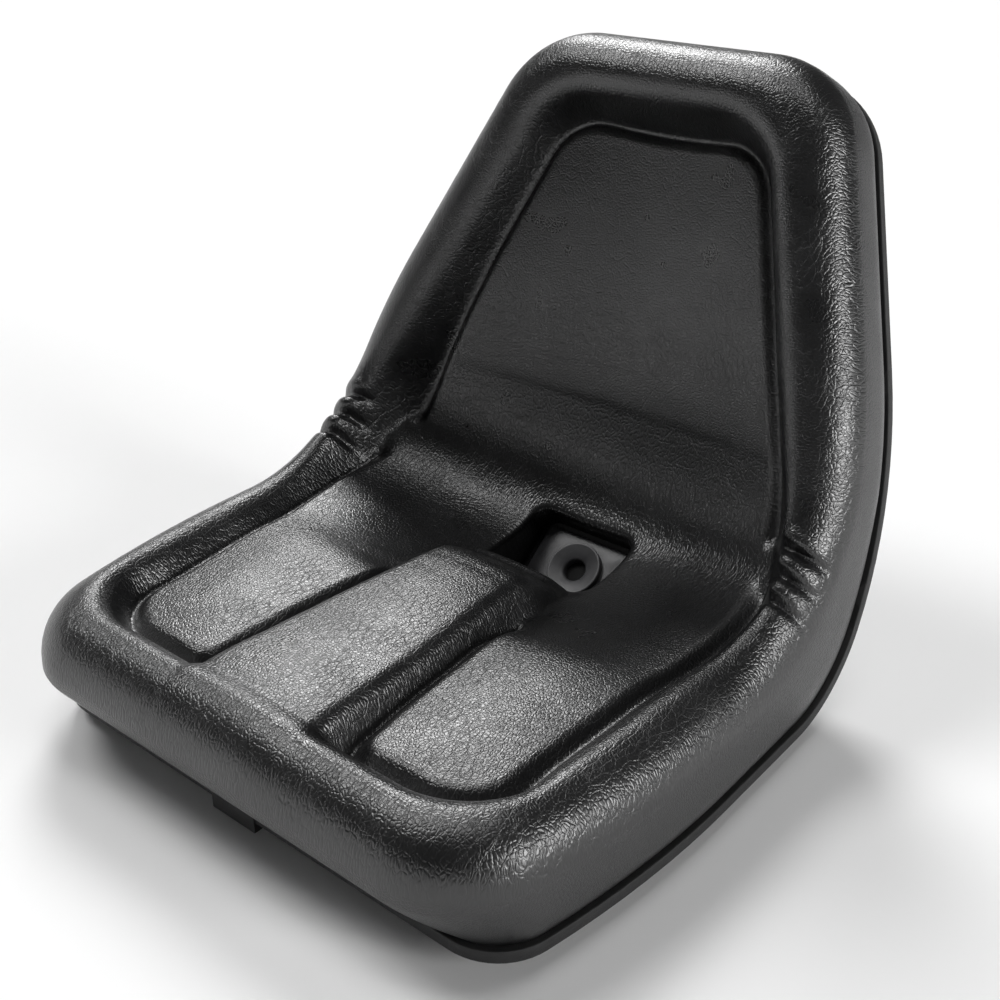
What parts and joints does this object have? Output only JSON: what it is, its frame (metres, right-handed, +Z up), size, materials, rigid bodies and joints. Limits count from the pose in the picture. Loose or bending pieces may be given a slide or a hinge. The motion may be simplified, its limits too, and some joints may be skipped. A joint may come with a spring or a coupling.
{
  "type": "tractor seat",
  "caption": "Bucket seat with rolled edges, thigh troughs beside a raised middle and a drain well, on a pressed steel pan that bolts down from below.",
  "frame": {"origin": "middle of the bolt pattern on the flat underside of the pan", "axes": "+X to the right seen from the front, +Y to the rear, +Z up from the underside of the pan"},
  "size_m": [0.458, 0.5447, 0.4204],
  "materials": {
    "cover": "semi-gloss black vinyl with a leather grain",
    "trim": "dull black extruded trim",
    "sleeve": "dull black plastic",
    "pan": "black paint on pressed steel",
    "plate": "dark grey plastic"
  },
  "bodies": {
    "root": {"cushion": "cover", "edge_trim": "trim", "trim_joint_sleeve": "sleeve", "seat_pan": "pan", "drain_plate": "plate"}
  },
  "joints": []
}
